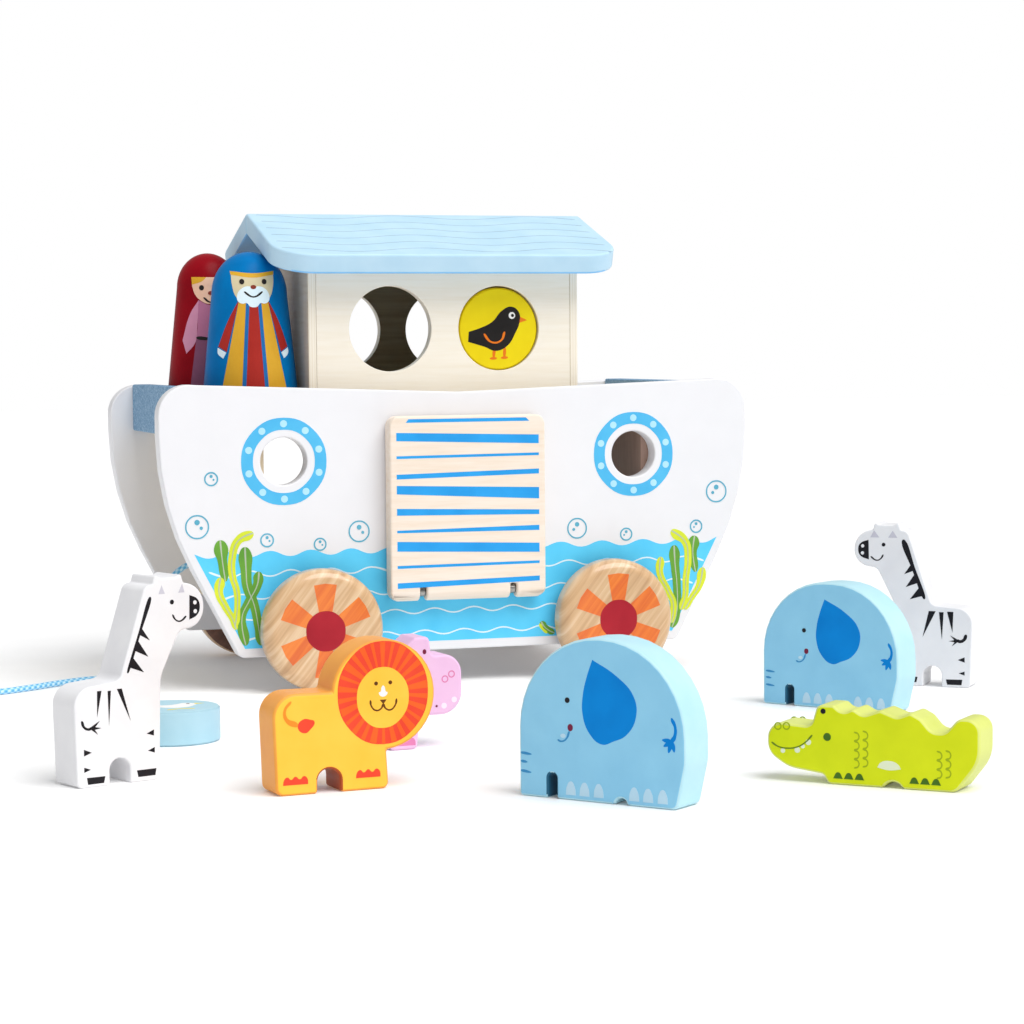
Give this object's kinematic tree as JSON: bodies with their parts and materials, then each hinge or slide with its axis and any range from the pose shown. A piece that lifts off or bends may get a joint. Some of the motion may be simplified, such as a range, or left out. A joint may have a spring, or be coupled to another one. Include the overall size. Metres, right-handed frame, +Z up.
{
  "type": "noahs ark toy",
  "caption": "Wooden pull-along ark shape sorter with lift-off roof, fold-down ramp, rolling wheels, peg figures, bird discs and flat animal blocks.",
  "frame": {"origin": "centre of the set's footprint, on the table that the wheels and the blocks stand on", "axes": "+X from bow to stern, +Y from the printed side to the back, +Z up"},
  "size_m": [0.5112, 0.5526, 0.2323],
  "materials": {
    "hull_white": "smooth white lacquer",
    "blue_stain": "open-grained blue stain",
    "plywood": "bare birch plywood",
    "beech": "clear-coated beech",
    "roof_blue": "satin pale blue lacquer",
    "steel": "bright drawn steel",
    "noah_blue": "satin lacquer with a printed robe",
    "wife_red": "satin lacquer with a printed dress",
    "disc_yellow": "satin lacquer with a printed bird",
    "disc_blue": "satin lacquer with a printed bird",
    "zebra_white": "satin lacquer with printed stripes",
    "lion_yellow": "satin lacquer with a printed face",
    "hippo_pink": "satin lacquer with a printed face",
    "elephant_blue": "satin lacquer with a printed face",
    "croc_green": "satin lacquer with a printed face",
    "cord_blue": "braided cotton"
  },
  "bodies": {
    "hull": {"side_front": "hull_white", "side_back": "hull_white", "bow_crossbar": "blue_stain", "stern_crossbar": "blue_stain", "hull_floor": "plywood", "bow_wall": "plywood", "stern_wall": "plywood", "deck": "plywood", "hull_dowels": "beech", "house_front": "plywood", "house_back": "plywood", "house_bow_gable": "plywood", "house_stern_gable": "plywood", "hull_magnet": "steel", "ramp_screw_eyes": "steel", "pull_cord": "cord_blue", "cord_coil": "cord_blue", "cord_knot": "cord_blue", "cord_end_knot": "cord_blue"},
    "roof": {"roof_front_board": "roof_blue", "roof_back_board": "roof_blue", "roof_bow_cleat": "roof_blue", "roof_stern_cleat": "roof_blue"},
    "ramp": {"ramp_board": "plywood", "ramp_pin": "steel", "ramp_magnet": "steel"},
    "bow_wheels": {"bow_axle": "beech", "bow_wheel_front": "beech", "bow_wheel_back": "beech"},
    "stern_wheels": {"stern_axle": "beech", "stern_wheel_front": "beech", "stern_wheel_back": "beech"},
    "raven_disc": {"raven_disc": "disc_yellow"},
    "dove_disc": {"dove_disc": "disc_blue"},
    "noah": {"noah_figure": "noah_blue"},
    "wife": {"wife_figure": "wife_red"},
    "zebra_left": {"zebra_left": "zebra_white"},
    "lion": {"lion": "lion_yellow"},
    "hippo": {"hippo": "hippo_pink"},
    "elephant_front": {"elephant_front": "elephant_blue"},
    "elephant_back": {"elephant_back": "elephant_blue"},
    "zebra_right": {"zebra_right": "zebra_white"},
    "crocodile": {"crocodile": "croc_green"}
  },
  "joints": [
    {"name": "bow_wheels_roll", "type": "hinge", "parent": "hull", "child": "bow_wheels", "pos_m": [-0.07001, 0.18535, 0.0295], "axis": [0, 1, 0], "continuous": true},
    {"name": "stern_wheels_roll", "type": "hinge", "parent": "hull", "child": "stern_wheels", "pos_m": [0.07859, 0.18535, 0.0295], "axis": [0, 1, 0], "continuous": true},
    {"name": "ramp_fold", "type": "hinge", "parent": "hull", "child": "ramp", "pos_m": [0.00429, 0.10734, 0.0457], "axis": [1, 0, 0], "range_deg": [0, 118]},
    {"name": "roof_lift", "type": "slide", "parent": "hull", "child": "roof", "axis": [0, 0, 1], "range_m": [0, 0.08]},
    {"name": "raven_disc_pull", "type": "slide", "parent": "hull", "child": "raven_disc", "axis": [0, -1, 0], "range_m": [0, 0.02]},
    {"name": "dove_disc_lift", "type": "slide", "parent": "hull", "child": "dove_disc", "axis": [0, 0, 1], "range_m": [0, 0.06]},
    {"name": "noah_shift", "type": "slide", "parent": "hull", "child": "noah", "axis": [-1, 0, 0], "range_m": [0, 0.008]},
    {"name": "wife_lift", "type": "slide", "parent": "hull", "child": "wife", "axis": [0, 0, 1], "range_m": [0, 0.015]},
    {"name": "zebra_left_lift", "type": "slide", "parent": "hull", "child": "zebra_left", "axis": [0, 0, 1], "range_m": [0, 0.06]},
    {"name": "lion_lift", "type": "slide", "parent": "hull", "child": "lion", "axis": [0, 0, 1], "range_m": [0, 0.06]},
    {"name": "hippo_lift", "type": "slide", "parent": "hull", "child": "hippo", "axis": [0, 0, 1], "range_m": [0, 0.06]},
    {"name": "elephant_front_lift", "type": "slide", "parent": "hull", "child": "elephant_front", "axis": [0, 0, 1], "range_m": [0, 0.06]},
    {"name": "elephant_back_lift", "type": "slide", "parent": "hull", "child": "elephant_back", "axis": [0, 0, 1], "range_m": [0, 0.06]},
    {"name": "zebra_right_lift", "type": "slide", "parent": "hull", "child": "zebra_right", "axis": [0, 0, 1], "range_m": [0, 0.06]},
    {"name": "crocodile_lift", "type": "slide", "parent": "hull", "child": "crocodile", "axis": [0, 0, 1], "range_m": [0, 0.06]}
  ]
}
